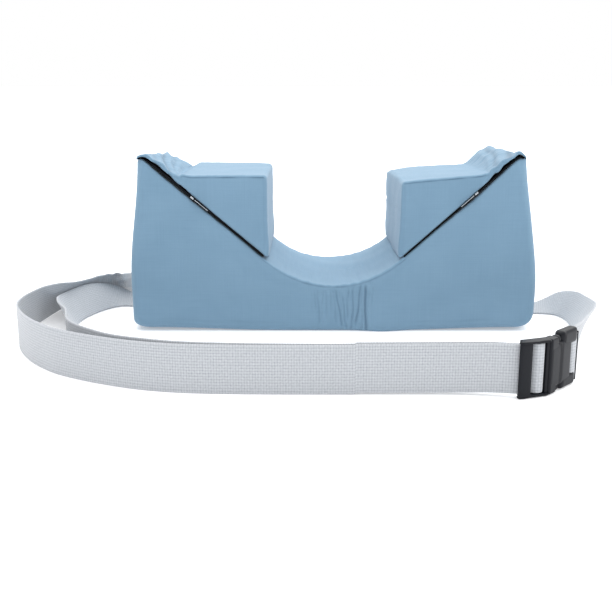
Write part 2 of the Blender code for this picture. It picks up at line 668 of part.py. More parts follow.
def add_female(parts, cutters, housing_place):
    """Housing: a waist with an open mouth and a window in each side for an arm's button, and a
    higher end with a bar that the webbing is sewn round."""
    thick, full = (-BUCKLE_HALF_THICK, BUCKLE_HALF_THICK), (-BUCKLE_HALF_HEIGHT, BUCKLE_HALF_HEIGHT)
    outline = ((HOUSING_FULL, HOUSING[1]), full, thick)
    female = buckle_block("buckle_female", outline, BUCKLE_ROUND, parts, housing_place, "plastic")
    slim = (-WAIST_HALF_THICK, WAIST_HALF_THICK)
    waist = ((HOUSING[0], HOUSING_FULL + 4.0), (-WAIST_HALF, WAIST_HALF), slim)
    waist = hide_helper(buckle_block("female_waist", waist, 1.5, cutters, housing_place))
    boolean(female, waist, "UNION")
    slot = (-SLOT_HALF, SLOT_HALF)
    bar = (HOUSING_SLOT[1] - 1, HOUSING[1] + PAST)
    pocket, deep = (-POCKET_HALF, POCKET_HALF), (-POCKET_HALF_THICK, POCKET_HALF_THICK)
    side_to_side = (-WAIST_HALF - PAST, WAIST_HALF + PAST)
    holes = {
        "female_pocket": ((HOUSING[0] - 1, WINDOW[1] + 2), pocket, deep),
        "female_windows": (WINDOW, side_to_side, deep),
        "female_slot": (HOUSING_SLOT, slot, (-PAST, PAST)),
        "female_over_bar": (bar, slot, (BAR_HALF_THICK, PAST)),
        "female_under_bar": (bar, slot, (-PAST, -BAR_HALF_THICK)),
        "female_beyond_bar": ((HOUSING_BAR_END, HOUSING[1] + PAST), slot, (-PAST, PAST)),
    }
    for name, ranges in holes.items():
        hole = hide_helper(buckle_block(name, ranges, 0, cutters, housing_place))
        boolean(female, hole, "DIFFERENCE")


def add_buckle(parts, cutters):
    frame_place = carrier_of("frame_place", FRAME_TURN, parts)
    housing_place = carrier_of("housing_place", HOUSING_TURN, parts)
    add_male(parts, cutters, frame_place, housing_place)
    add_female(parts, cutters, housing_place)


def add_base(parts, cutters):
    base = add_object("base", loft(base_rings(), crown=1.5), parts, "cotton")
    bm = bmesh.new()
    bmesh.ops.create_cube(bm, size=1.0)
    bmesh.ops.scale(bm, vec=(3 * BASE_HALF_WIDTH, GROOVE_WIDTH, 2 * GROOVE_DEPTH), verts=bm.verts)
    turned = Matrix.Rotation(math.radians(UNDER_TURN), 4, "Z")
    at = Matrix.Translation((0.0, UNDER_MIDDLE_Y, 0.0))
    groove = add_object("strap_groove", place(bm, at @ turned), cutters, smooth=False)
    boolean(base, hide_helper(groove), "DIFFERENCE")


def main():
    clear_scene()
    parts = new_collection("head_positioning_wedge_pillow")
    cutters = new_collection("cutters")
    add_base(parts, cutters)
    for side, label in ((-1, "left"), (1, "right")):
        add_object(f"wedge_{label}", loft(pad_rings(side), crown=2.0), parts, "cotton")
        add_object(f"zip_tape_{label}", loft(tape_rings(side)), parts, "zip_tape")
        add_zip_metal(side, label, parts)
    add_straps(parts)
    add_buckle(parts, cutters)


main()
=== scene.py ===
# Head positioning wedge pillow: foam in a cotton cover, two side wedges zipped on, and an elastic
# webbing strap with a side-release buckle. Lengths are in millimetres until a mesh is made.
import math

import bpy
import numpy as np
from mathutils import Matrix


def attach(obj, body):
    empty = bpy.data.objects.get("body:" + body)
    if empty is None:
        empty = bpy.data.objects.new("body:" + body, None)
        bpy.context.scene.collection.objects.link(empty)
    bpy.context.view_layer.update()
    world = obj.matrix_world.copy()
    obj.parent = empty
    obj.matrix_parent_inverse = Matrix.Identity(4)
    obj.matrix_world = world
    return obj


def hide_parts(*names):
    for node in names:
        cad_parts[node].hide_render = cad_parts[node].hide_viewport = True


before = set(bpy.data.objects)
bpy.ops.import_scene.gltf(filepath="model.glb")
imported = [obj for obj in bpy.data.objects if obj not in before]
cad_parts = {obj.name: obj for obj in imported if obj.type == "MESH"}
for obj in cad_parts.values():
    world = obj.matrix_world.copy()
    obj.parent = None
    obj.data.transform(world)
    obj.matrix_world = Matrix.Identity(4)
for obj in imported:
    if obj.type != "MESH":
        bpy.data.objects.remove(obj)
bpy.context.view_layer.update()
mm = 0.001


# shared maths and mesh making

def ease(low, high, x):
    # 0 below low, 1 above high, and 3t^2 - 2t^3 between them
    t = np.clip((np.asarray(x, float) - low) / (high - low), 0, 1)
    return t * t * (3 - 2 * t)


def bell(x, width):
    # exp(-(x / width)^2), a soft bump of height 1
    return np.exp(-((x / width) ** 2))


def quarterDrop(distance, radius):
    # how far a quarter circle of this radius has fallen at a distance from its end
    inside = np.clip(radius - np.asarray(distance, float), 0, radius)
    return radius - np.sqrt(radius * radius - inside * inside)


def squared(wave, power):
    # sign(w) |w|^p, which turns the sine and cosine of a circle into those of a rounded square
    return np.sign(wave) * np.abs(wave) ** power


def pick(pair, x):
    # the left value where x is negative, else the right one
    return np.where(x < 0, pair[0], pair[1])


def waves(a, b, seed, longest, shortest, count):
    # a sum of sines over the plane (a, b) with seeded directions, wavelengths and phases, about -1 to 1
    rng = np.random.default_rng(seed)
    total = 0
    for _ in range(count):
        length = shortest * (longest / shortest) ** rng.random()
        turn, phase = rng.random(2) * 2 * math.pi
        total = total + np.sin(2 * math.pi * (a * math.cos(turn) + b * math.sin(turn)) / length + phase)
    return total / math.sqrt(2 * count)


def gridNormals(points):
    # cross product of the slopes along the rows and round the ring
    alongRows = np.gradient(points, axis=0)
    roundRing = np.roll(points, -1, axis=1) - np.roll(points, 1, axis=1)
    normals = np.cross(roundRing, alongRows)
    lengths = np.linalg.norm(normals, axis=2, keepdims=True)
    normals = normals / np.maximum(lengths, 1e-9)
    middle = len(points) // 2
    outward = points[middle] - points[middle].mean(axis=0)
    return normals if (normals[middle] * outward).sum() > 0 else -normals


def withEnds(points, crown, steps):
    # rings shrunk towards the middle of the first and last ring, standing out by crown * (1 - step^2)
    def endRings(ring, inner):
        middle = ring.mean(axis=0)
        outward = middle - inner.mean(axis=0)
        outward = outward / np.linalg.norm(outward) * crown
        scale = np.array(steps)[:, None, None]
        return middle + (ring - middle) * scale + outward * (1 - scale**2)
    first, last = endRings(points[0], points[1]), endRings(points[-1], points[-2])
    return np.concatenate([first[::-1], points, last])


def addObject(name, data):
    made = bpy.data.objects.new(name, data)
    bpy.context.scene.collection.objects.link(made)
    return made


def makePiece(name, shells, material, uv=None, paintedShade=None):
    # each shell is (rows, ring, 3) points: neighbours become quads, a ring closes on itself, and each
    # end is one face; the signed volume says whether its faces have to be turned to point outwards
    corners, faces, first = [], [], 0
    for points in shells:
        rows, ring = points.shape[:2]
        index = np.arange(rows * ring).reshape(rows, ring)
        nextOne = np.roll(index, -1, axis=1)
        quads = np.stack([index[:-1], nextOne[:-1], nextOne[1:], index[1:]], axis=-1).reshape(-1, 4)
        flat = points.reshape(-1, 3)
        a, b, c, d = (flat[quads[:, k]] for k in range(4))
        volume = (np.einsum("ij,ij->i", a, np.cross(b, c)) + np.einsum("ij,ij->i", a, np.cross(c, d))).sum()
        ends = [index[0][::-1], index[-1]]
        if volume < 0:
            quads, ends = quads[:, ::-1], [end[::-1] for end in ends]
        faces += (quads + first).tolist() + [(end + first).tolist() for end in ends]
        corners.append(flat)
        first += len(flat)
    mesh = bpy.data.meshes.new(name)
    mesh.from_pydata((np.concatenate(corners) * mm).tolist(), [], faces)
    if uv is not None:
        layer = mesh.uv_layers.new(name="lengths")
        layer.data.foreach_set("uv", uv.reshape(-1, 2)[np.concatenate(faces)].ravel())
    # a share of painted shade at each point, kept as an attribute that the cotton darkens its colour by
    if paintedShade is not None:
        dark = mesh.attributes.new("paintedShade", "FLOAT", "POINT")
        dark.data.foreach_set("value", np.clip(paintedShade, 0, 1).ravel())
    mesh.shade_smooth()
    mesh.update()
    mesh.materials.append(material)
    piece = addObject(name, mesh)
    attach(piece, "root")
    return piece


def roundedBar(stations, halfAcross, halfThrough, place, ends=1.0, power=0.35, ring=28):
    # a rounded square section of these half sizes at each station, drawn in by a quarter circle at
    # both ends, though never to nothing; place turns lengths along, across and through into a point
    stations, least = np.asarray(stations, float), 0.05
    near = ends * (1 - np.cos(np.linspace(0, math.pi / 2, 6)))
    between = np.linspace(stations[0] + ends, stations[-1] - ends, 9)
    s = np.concatenate([stations[0] + near, stations[-1] - near, stations[1:-1], between])
    s = np.unique(s)[:, None]
    inset = quarterDrop(np.minimum(s - stations[0], stations[-1] - s), ends)
    angles = np.linspace(0, 2 * math.pi, ring, endpoint=False)[None, :]
    across = np.maximum(np.interp(s, stations, halfAcross) - inset, least) * squared(np.cos(angles), power)
    through = np.maximum(np.interp(s, stations, halfThrough) - inset, least) * squared(np.sin(angles), power)
    return place(s + 0 * across, across, through)


# materials

def linearColour(code):
    # sRGB hex to linear red, green and blue
    values = np.array([int(code[i:i + 2], 16) for i in (0, 2, 4)]) / 255
    linear = np.where(values <= 0.04045, values / 12.92, ((values + 0.055) / 1.055) ** 2.4)
    return (*linear.tolist(), 1.0)


def addNode(tree, kind, settings=None, inputs=None):
    # one node with its settings; an input is a value, or a socket to link from
    node = tree.nodes.new("ShaderNode" + kind)
    for key, value in (settings or {}).items():
        setattr(node, key, value)
    for key, value in (inputs or {}).items():
        if isinstance(value, bpy.types.NodeSocket):
            tree.links.new(value, node.inputs[key])
        else:
            node.inputs[key].default_value = value
    return node


def newMaterial(name, **shader):
    # a material with one shader, whose sockets are given with _ for each space
    made = bpy.data.materials.new(name)
    made.use_nodes = True
    tree = made.node_tree
    tree.nodes.clear()
    surface = addNode(tree, "BsdfPrincipled", inputs={key.replace("_", " "): v for key, v in shader.items()})
    addNode(tree, "OutputMaterial", inputs={"Surface": surface.outputs["BSDF"]})
    return made, tree, surface


def finishMaterial(made, tree, surface, look, colour, height, invert=False):
    # the colour goes to the shader, and the height through a bump to its normal
    tree.links.new(colour, surface.inputs["Base Color"])
    bump = addNode(tree, "Bump", {"invert": invert}, {"Strength": look["bump"], "Height": height,
                                                      "Distance": look["bumpHeight"] * mm})
    tree.links.new(bump.outputs[0], surface.inputs["Normal"])
    return made


def grainyRoughness(tree, surface, look):
    # fine noise that varies the roughness between two values; gives the noise back
    place = addNode(tree, "TexCoord").outputs["Object"]
    grain = addNode(tree, "TexNoise", inputs={"Vector": place, "Scale": look["grainsPerMetre"], "Detail": 2.0})
    rough = addNode(tree, "MapRange", inputs={"Value": grain.outputs["Fac"], "To Min": look["roughness"][0],
                                              "To Max": look["roughness"][1]})
    tree.links.new(rough.outputs[0], surface.inputs["Roughness"])
    return grain.outputs["Fac"]


# pitches and lengths in millimetres; clouds are broad patches of uneven dye. The darkest blue is painted shade,
# for where the cover dips into a seam, a gather or a crease
cottonLook = dict(light="7594AB", dark="63839A", paintedShadeColour="2C4A60", threadPitch=0.75, slubLength=30.0,
                  clouds=60.0, cloudShare=0.4, roughness=0.9, sheen=0.18, sheenRoughness=0.5,
                  bump=0.24, bumpHeight=0.5)


def cottonCover():
    # dyed plain-weave cotton, brushed soft: matt, with faint thicker threads running both ways, and
    # painted shade, a mix towards the darkest blue, where it dips into a seam, a gather or a crease.
    # Its threads are about 0.4 mm apart, too fine to show, so the weave is drawn 0.75 mm apart
    look = cottonLook
    made, tree, surface = newMaterial("cotton plain weave", Roughness=look["roughness"],
                                      Sheen_Weight=look["sheen"], Sheen_Roughness=look["sheenRoughness"])
    place = addNode(tree, "TexCoord").outputs["Object"]
    lines = []
    for axis in range(3):
        scale = [1000 / look["slubLength"]] * 3
        scale[axis] = 1000 / look["threadPitch"]
        stretched = addNode(tree, "Mapping", inputs={"Vector": place, "Scale": scale})
        noise = addNode(tree, "TexNoise", inputs={"Vector": stretched.outputs[0], "Scale": 0.8, "Detail": 3.0})
        lines.append(noise.outputs["Fac"])
    both = addNode(tree, "Math", {"operation": "ADD"}, {0: lines[0], 1: lines[1]})
    every = addNode(tree, "Math", {"operation": "ADD"}, {0: both.outputs[0], 1: lines[2]})
    threads = addNode(tree, "MapRange", inputs={"Value": every.outputs[0], "From Min": 0.85, "From Max": 2.15})
    clouds = addNode(tree, "TexNoise", inputs={"Vector": place, "Scale": 1000 / look["clouds"], "Detail": 3.0})
    blended = addNode(tree, "Mix", {"data_type": "FLOAT"},
                      {0: look["cloudShare"], 2: threads.outputs[0], 3: clouds.outputs["Fac"]})
    colour = addNode(tree, "Mix", {"data_type": "RGBA"},
                     {0: blended.outputs[0], 6: linearColour(look["dark"]), 7: linearColour(look["light"])})
    # painted shade: the mesh's attribute mixes the colour towards the darkest blue in seams, gathers and
    # creases
    paintedShade = addNode(tree, "Attribute", {"attribute_name": "paintedShade"})
    folded = addNode(tree, "Mix", {"data_type": "RGBA"},
                     {0: paintedShade.outputs["Fac"], 6: colour.outputs[2], 7: linearColour(look["paintedShadeColour"])})
    return finishMaterial(made, tree, surface, look, folded.outputs[2], threads.outputs[0])


# ribs and picks are the thread pitches across and along; fray is where the frayed yarn ends, and tuft
# is how ragged that is
webbingLook = dict(light="BABDC1", dark="80858C", frayed="D8DADC", ribs=2.3, picks=2.1,
                   ribDepth=0.42, pickDepth=0.36, uneven=0.35, fray=(9.0, 15.0), tuft=12.0,
                   roughness=0.82, sheen=0.2, sheenRoughness=0.5, bump=0.35, bumpHeight=0.4)


def elasticWebbing():
    # woven elastic: soft matt yarn over rubber, in ribs along its length that its picks cross, so
    # thin dark lines run both ways. The UV map holds millimetres across and along
    look = webbingLook
    made, tree, surface = newMaterial("woven elastic", Roughness=look["roughness"],
                                      Sheen_Weight=look["sheen"], Sheen_Roughness=look["sheenRoughness"])
    lengths = addNode(tree, "UVMap", {"uv_map": "lengths"}).outputs["UV"]
    parts = addNode(tree, "SeparateXYZ", inputs={"Vector": lengths})
    dips = []
    for key, pitch, deep in (("X", look["ribs"], look["ribDepth"]), ("Y", look["picks"], look["pickDepth"])):
        turns = addNode(tree, "Math", {"operation": "MULTIPLY"}, {0: parts.outputs[key], 1: math.pi / pitch})
        wave = addNode(tree, "Math", {"operation": "SINE"}, {0: turns.outputs[0]})
        size = addNode(tree, "Math", {"operation": "ABSOLUTE"}, {0: wave.outputs[0]})
        rest = addNode(tree, "Math", {"operation": "SUBTRACT"}, {0: 1.0, 1: size.outputs[0]})
        thin = addNode(tree, "Math", {"operation": "POWER"}, {0: rest.outputs[0], 1: 2.0})
        dips.append(addNode(tree, "Math", {"operation": "MULTIPLY"}, {0: thin.outputs[0], 1: deep}).outputs[0])
    lines = addNode(tree, "Math", {"operation": "ADD", "use_clamp": True}, {0: dips[0], 1: dips[1]})
    fuzz = addNode(tree, "TexNoise", inputs={"Vector": lengths, "Scale": 0.6, "Detail": 4.0})
    uneven = addNode(tree, "MapRange", inputs={"Value": fuzz.outputs["Fac"], "From Min": 0.3, "From Max": 0.7,
                                               "To Min": 0.0, "To Max": look["uneven"]})
    shade = addNode(tree, "Math", {"operation": "ADD", "use_clamp": True},
                    {0: lines.outputs[0], 1: uneven.outputs[0]})
    colour = addNode(tree, "Mix", {"data_type": "RGBA"},
                     {0: shade.outputs[0], 6: linearColour(look["light"]), 7: linearColour(look["dark"])})
    # at the cut end the yarn has frayed, in paler tufts
    ragged = addNode(tree, "Math", {"operation": "MULTIPLY_ADD"},
                     {0: fuzz.outputs["Fac"], 1: look["tuft"], 2: parts.outputs["Y"]})
    cutEnd = addNode(tree, "MapRange", inputs={"Value": ragged.outputs[0],
                                               "From Min": look["fray"][1] + look["tuft"] / 2,
                                               "From Max": look["fray"][0] + look["tuft"] / 2})
    frayed = addNode(tree, "Mix", {"data_type": "RGBA"},
                     {0: cutEnd.outputs[0], 6: colour.outputs[2], 7: linearColour(look["frayed"])})
    return finishMaterial(made, tree, surface, look, frayed.outputs[2], shade.outputs[0], invert=True)


zipLook = dict(light="060910", dark="010203", pitch=1.3, turn=0.7, roughness=0.7, specular=0.15,
               bump=0.4, bumpHeight=0.4)


def zipTape():
    # black polyester zip: a fine twill tape folded over its coil, faintly shiny where it bends
    look = zipLook
    made, tree, surface = newMaterial("polyester zip", Roughness=look["roughness"],
                                      Specular_IOR_Level=look["specular"])
    place = addNode(tree, "TexCoord").outputs["Object"]
    turned = addNode(tree, "Mapping", inputs={"Vector": place, "Rotation": (0.0, look["turn"], 0.0),
                                              "Scale": (1000 / look["pitch"],) * 3})
    coil = addNode(tree, "TexWave", {"wave_type": "BANDS"},
                   {"Vector": turned.outputs[0], "Scale": 0.32, "Distortion": 0.5})
    colour = addNode(tree, "Mix", {"data_type": "RGBA"},
                     {0: coil.outputs["Fac"], 6: linearColour(look["dark"]), 7: linearColour(look["light"])})
    return finishMaterial(made, tree, surface, look, colour.outputs[2], coil.outputs["Fac"])


nickelLook = dict(colour="B4B7BA", grainsPerMetre=900.0, roughness=(0.18, 0.34))


def nickelPlate():
    # nickel-plated die-cast zinc: bright, with a tumbled surface that softens its reflections
    look = nickelLook
    made, tree, surface = newMaterial("nickel plate", Metallic=1.0, Base_Color=linearColour(look["colour"]))
    grainyRoughness(tree, surface, look)
    return made


acetalLook = dict(light="12151D", dark="090B10", grainsPerMetre=2600.0, roughness=(0.34, 0.5),
                  ior=1.48, specular=0.2, bump=0.12, bumpHeight=0.2)


def mouldedAcetal():
    # black acetal from a spark-eroded mould: satin, with a grain of about 0.4 mm
    look = acetalLook
    made, tree, surface = newMaterial("moulded acetal", IOR=look["ior"], Specular_IOR_Level=look["specular"])
    grain = grainyRoughness(tree, surface, look)
    tone = addNode(tree, "Mix", {"data_type": "RGBA"},
                   {0: grain, 6: linearColour(look["dark"]), 7: linearColour(look["light"])})
    return finishMaterial(made, tree, surface, look, tone.outputs[2], grain)


cotton, webbing, tape = cottonCover(), elasticWebbing(), zipTape()
nickel, acetal = nickelPlate(), mouldedAcetal()
print("materials made")


# base cushion

# pairs are left and right, or from and to; each set of waves is seed, longest, shortest and count
# the seam and gather shares that darken the colour are painted shade
base = dict(halfWidth=192.0, topHalfWidth=(181.5, 177.0), halfDepth=74.0, cornerHeight=164.0,
            cornerDrop=(9.0, 4.0), cradleRadius=95.0, cradleLow=44.7, slope=(0.84, 0.90),
            crown=1.6, topRound=2.4, lowRound=4.0, endRound=8.0, topEndRound=4.0, endCrown=1.5,
            taperFrom=(90, 150), taperHeight=(40, 175), endLift=(8.0, 14.0), endLiftRound=18.0,
            frontLift=3.0, frontLiftFrom=(50, 170), frontLiftDepth=(-52, -74),
            grooveMiddle=24.8, grooveTurn=-4.1, grooveHalf=20.2, grooveSide=2.5, grooveDepth=2.5,
            padFrom=62, slopeSquare=0.77, seamDown=1.9, seamWidth=0.45, seamDepth=0.4, seamEnds=(60, 72),
            seamShade=0.6, seamWaves=(17, 40, 14, 8), lowSeam=9.0, lowSeamWidth=0.8, lowSeamRise=2.0,
            lowSeamShade=0.1, pucker=0.24, puckerReach=9.0, puckerWaves=(3, 13, 5, 10), gatherShade=0.26,
            drape=0.5, drapeWaves=(9, 14, 6, 8), softness=0.5, softWaves=(5, 120, 45, 9),
            lowBulge=3.2, gatherSpan=(-24.0, 40.0), fineStep=0.6, wideStep=2.6)

# gathers in the front face: place, lean, depth, half width, lowest and highest point
gathers = ((-17.8, 0.00, 0.5, 0.8, 20, 44), (-14.3, -0.05, 0.5, 0.8, 6, 44), (-10.6, 0.04, 0.3, 0.7, 26, 44),
           (-7.0, -0.03, 0.4, 0.8, 14, 44), (-2.4, -0.08, 0.35, 0.8, 22, 44), (1.2, -0.12, 0.45, 0.8, 8, 44),
           (4.8, -0.17, 0.9, 0.9, 3, 43), (7.2, -0.10, 0.4, 0.7, 20, 43), (9.4, -0.14, 0.6, 0.8, 0, 40),
           (13.5, 0.04, 0.5, 0.8, 10, 45), (16.0, 0.10, 0.35, 0.7, 24, 45), (18.2, 0.03, 0.8, 0.9, -2, 45),
           (21.2, 0.06, 0.4, 0.7, 18, 46), (23.6, 0.12, 1.1, 0.9, 6, 48), (27.0, 0.00, 0.6, 0.7, 0, 45),
           (30.3, -0.03, 1.3, 1.0, -8, 48), (33.0, 0.04, 0.35, 0.7, 20, 46), (36.0, 0.05, 0.35, 0.8, 24, 46))


def slopeHeight(x):
    # an arc of the cradle's radius, then a straight slope that leaves it without a kink
    slope, radius = pick(base["slope"], x), base["cradleRadius"]
    angle = np.arctan(slope)
    leaves = radius * np.sin(angle)
    arc = base["cradleLow"] + radius - np.sqrt(np.maximum(radius**2 - x * x, 0))
    straight = base["cradleLow"] + radius * (1 - np.cos(angle)) + slope * (np.abs(x) - leaves)
    over = np.maximum(straight - (base["cornerHeight"] - 4), 0)
    return np.where(np.abs(x) < leaves, arc, straight - over + 4 * np.tanh(over / 4))


def baseTop(x, y):
    # the outer corners sink a little towards the back
    sink = pick(base["cornerDrop"], x) * ease(90, 175, np.abs(x))
    return slopeHeight(x) - sink * ease(-60, base["halfDepth"], y)


def sectionRing(half, lowAt, highAt, lowRound, highRound, counts):
    # one closed ring in y and z for every row at once: up the front wall, over the top, down the back
    # and along the underside, joined by quarter circles
    height = highAt(0 * half) - lowAt(0 * half)
    rLow, rHigh = np.minimum(lowRound, 0.45 * height), np.minimum(highRound, 0.45 * height)
    turn = np.linspace(0, math.pi / 2, counts["corner"] + 1)[None, :]

    def corner(sign, isTop, angles):
        r = rHigh if isTop else rLow
        y = sign * (half - r + r * np.cos(angles))
        lift = r * (1 - np.sin(angles))
        return y, highAt(y) - lift if isTop else lowAt(y) + lift

    def wall(sign, shares):
        y = sign * half + 0 * shares
        bottom, top = lowAt(y) + rLow, highAt(y) - rHigh
        return y, bottom + (top - bottom) * shares

    def flat(isTop, shares):
        y = (half - (rHigh if isTop else rLow)) * shares
        return y, highAt(y) if isTop else lowAt(y)

    up = np.linspace(0, 1, counts["wall"] + 1)[None, 1:-1]
    over = np.linspace(-1, 1, counts["top"] + 1)[None, 1:-1]
    under = np.linspace(1, -1, counts["low"] + 1)[None, 1:-1]
    pieces = [corner(-1, False, turn[:, ::-1]), wall(-1, up), corner(-1, True, turn), flat(True, over),
              corner(1, True, turn[:, ::-1]), wall(1, up[:, ::-1]), corner(1, False, turn), flat(False, under)]
    return np.concatenate([p[0] for p in pieces], axis=1), np.concatenate([p[1] for p in pieces], axis=1)


def makeBase():
    # one closed ring for each place across, then each point moves along its normal by the sum of the
    # seams, puckers, gathers and soft waves. Rows lie close together at both ends and the gathers
    near = np.array([0.0, 0.2, 0.8, 1.8, 3.2, 5.0, 7.0, 9.5, 12.0, 15.0, 18.0])
    ends = np.concatenate([-base["halfWidth"] + near, base["halfWidth"] - near])
    first, last = base["gatherSpan"]
    fine, wide = np.arange(first, last, base["fineStep"]), np.arange(-171.0, 172.0, base["wideStep"])
    wide = wide[(wide < first - 1) | (wide > last + 1)]
    x = np.sort(np.concatenate([ends, fine, wide]))[:, None]
    side = np.where(x < 0, -1.0, 1.0)
    share = np.abs(x) / base["halfWidth"]
    drawnIn = ease(*base["taperFrom"], np.abs(x))
    toEnd = base["halfWidth"] - np.abs(x)
    atTop = x + (side * share * pick(base["topHalfWidth"], x) - x) * drawnIn
    half = base["halfDepth"] - quarterDrop(toEnd, base["endRound"])
    lift = quarterDrop(toEnd, base["endLiftRound"]) * pick(base["endLift"], x) / base["endLiftRound"]
    fall = quarterDrop(toEnd, base["topEndRound"])
    frontLift = base["frontLift"] * ease(*base["frontLiftFrom"], np.abs(x))

    def underside(y):
        # flat but for the rounded ends, the strap's groove, and a front edge that lifts outwards
        fromStrap = np.abs(y - base["grooveMiddle"] - math.tan(math.radians(base["grooveTurn"])) * x)
        inGroove = 1 - ease(base["grooveHalf"], base["grooveHalf"] + base["grooveSide"], fromStrap)
        return np.maximum(lift, base["grooveDepth"] * inGroove) + frontLift * ease(*base["frontLiftDepth"], y)

    y, z = sectionRing(half, underside, lambda y: baseTop(atTop, y) - fall, base["lowRound"], base["topRound"],
                       dict(corner=5, wall=52, top=54, low=74))
    middle = baseTop(atTop, 0 * x) / 2
    swell = np.clip(1 - ((z - middle) / middle) ** 2, 0, 1)
    y = y + np.sign(y) * base["crown"] * swell * (np.abs(y) > half - 0.1)
    top = pick(base["topHalfWidth"], x)
    tapered = side * share * (base["halfWidth"] - (base["halfWidth"] - top) * ease(*base["taperHeight"], z))
    points = np.stack([x + (tapered - x) * drawnIn, y, z], axis=2)
    points = withEnds(points, base["endCrown"], (0.94, 0.86, 0.76, 0.64, 0.5, 0.36, 0.22, 0.1))

    # seams: one under the top edge, measured square to it, and a fainter one low down
    normals = gridNormals(points)
    px, py, pz = points[..., 0], points[..., 1], points[..., 2]
    faces, front = ease(0.7, 0.95, np.abs(normals[..., 1])), py < 0
    down = (baseTop(px, py) - pz) * np.where(np.abs(px) < base["padFrom"], 1, base["slopeSquare"])
    seam = bell(down - base["seamDown"], base["seamWidth"]) * (1 - ease(*base["seamEnds"], np.abs(px)))
    lowSeam = bell(pz - base["lowSeam"] - base["lowSeamRise"] * ease(60, 160, np.abs(px)), base["lowSeamWidth"])
    lowSeam = lowSeam * ease(45, 80, np.abs(px - 12))
    depth = -base["seamDepth"] * (seam + 0.4 * lowSeam) * faces
    # the seams' dips also get painted shade, and the low seam a fainter share
    unevenSeam = seam * (1 + 0.4 * waves(px, 0 * px, *base["seamWaves"]))
    paintedShade = (base["seamShade"] * unevenSeam + base["lowSeamShade"] * lowSeam) * faces
    # puckers beside the seam, stronger where the cover is gathered
    near = np.exp(-np.abs(down - base["seamDown"]) / base["puckerReach"])
    gathered = 1 + 2.2 * bell(px - 10, 26) * front
    depth = depth + base["pucker"] * gathered * near * waves(px, pz, *base["puckerWaves"])
    for at, lean, deep, halfWide, low, high in gathers:
        # a narrow dip that wanders a little, with a low ridge beside it
        off = np.abs(px - at - lean * (pz - 25) - 0.45 * np.sin(pz / 5.5 + 2.3 * at))
        along = ease(low - 3, low + 6, pz) * (1 - ease(high - 8, high, pz)) * front * faces
        dip = np.exp(-(off / halfWide) ** 1.5)
        depth = depth - deep * along * (dip - 0.45 * bell(off - 2.8 * halfWide, 1.5 * halfWide))
        # painted shade in the gather's dip
        paintedShade = paintedShade + base["gatherShade"] * deep * along * dip
    # the cover bulges beside the gathers, drapes between them, and is soft all over
    depth = depth + base["lowBulge"] * bell(px - 46, 17) * bell(pz - 3, 12) * front
    drape = waves(px, 0.25 * pz, *base["drapeWaves"]) * bell(px - 8, 30) * ease(2, 8, pz)
    depth = depth + base["drape"] * drape * front * faces
    depth = depth + base["softness"] * waves(px + py, pz - py, *base["softWaves"]) * ease(3, 14, pz)
    points = points + normals * depth[..., None]
    points[..., 2] = np.maximum(points[..., 2], 0.0)
    return makePiece("base_cushion", [points], cotton, paintedShade=paintedShade)


baseCushion = makeBase()
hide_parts("base")
print("base made")


# wedge pads with their empty flaps

# pairs are left and right, or from and to
# the seam, crease and fold shares that darken the colour are painted shade
pad = dict(inner=62.0, outer=(181.5, 176.0), top=((147.8, 147.8), (142.0, 148.5)), sink=(0.0, 3.0),
           run=70.0, round=3.6, tipRound=2.0, edgeRound=2.8, lowRound=2.2, endCrown=2.0,
           crown=0.8, crownDepth=163.0, restGap=0.8, zipDepth=13.0, zipGap=(2.7, 1.8), zipWiden=(0.8, 0.5),
           zipRise=(0.3, 0.2), zipRiseAt=157.0, zipCloses=(163, 176), cornerGap=1.3,
           flapStart=138.0, flapFull=152.0, flapThick=(4.6, 1.8), flapWave=0.5, curl=3.2, curlRound=6.0,
           seamDown=2.1, seamWidth=0.45, sideSeam=3.4, sideSeamWidth=0.6, seamDepth=0.4, seamShade=0.6,
           sideSeamShade=0.1, pucker=0.18, puckerReach=7.0, softness=0.4, puff=1.4, innerSoftness=0.35,
           crease=(0.5, 1.2), creaseHeight=112.0, creaseWidth=1.5, creaseShade=0.25,
           bulge=(0.6, 2.2), cornerDip=(1.6, 3.6), backLift=(4.6, 1.5), backLiftAt=154.0,
           foldShade=0.22, crumple=0.6, edgeWave=1.1)

# folds across each empty flap: distance from the middle at the front and at the back, width, height
flapFolds = (((147.0, 177.0, 2.6, 2.2), (141.0, 166.0, 2.2, 1.2), (159.0, 184.0, 3.0, 1.2),
              (170.0, 174.0, 3.0, 0.8)),
             ((146.0, 162.0, 3.0, 1.2), (153.0, 173.0, 4.6, 2.4), (168.0, 178.0, 3.0, 0.7)))


def zipGap(side, x):
    # wider further up, and again where the flap lifts, then closing over the corner
    k = int(side > 0)
    closes = ease(*pad["zipCloses"], x)
    gap = pad["zipGap"][k] + pad["zipWiden"][k] * ease(95, 150, x)
    gap = gap + pad["zipRise"][k] * bell(x - pad["zipRiseAt"], 8)
    return gap * (1 - closes) + pad["cornerGap"] * closes


def padLow(side, x, y):
    # just over the slope, stepping up along the front for the zip, and puckered under the flap
    step = -base["halfDepth"] + pad["zipDepth"]
    behind = ease(step, step + 4, y)
    swing = np.sin(y / 11 + 2 * side) + 0.6 * np.sin(y / 5.3 + x / 9)
    wave = pad["flapWave"] * (1.6 + swing) * ease(pad["flapStart"], pad["flapFull"] + 6, x)
    wave = wave * (1 - ease(168, 177, x))
    return baseTop(side * x, y) + zipGap(side, x) * (1 - behind) + pad["restGap"] * behind + wave


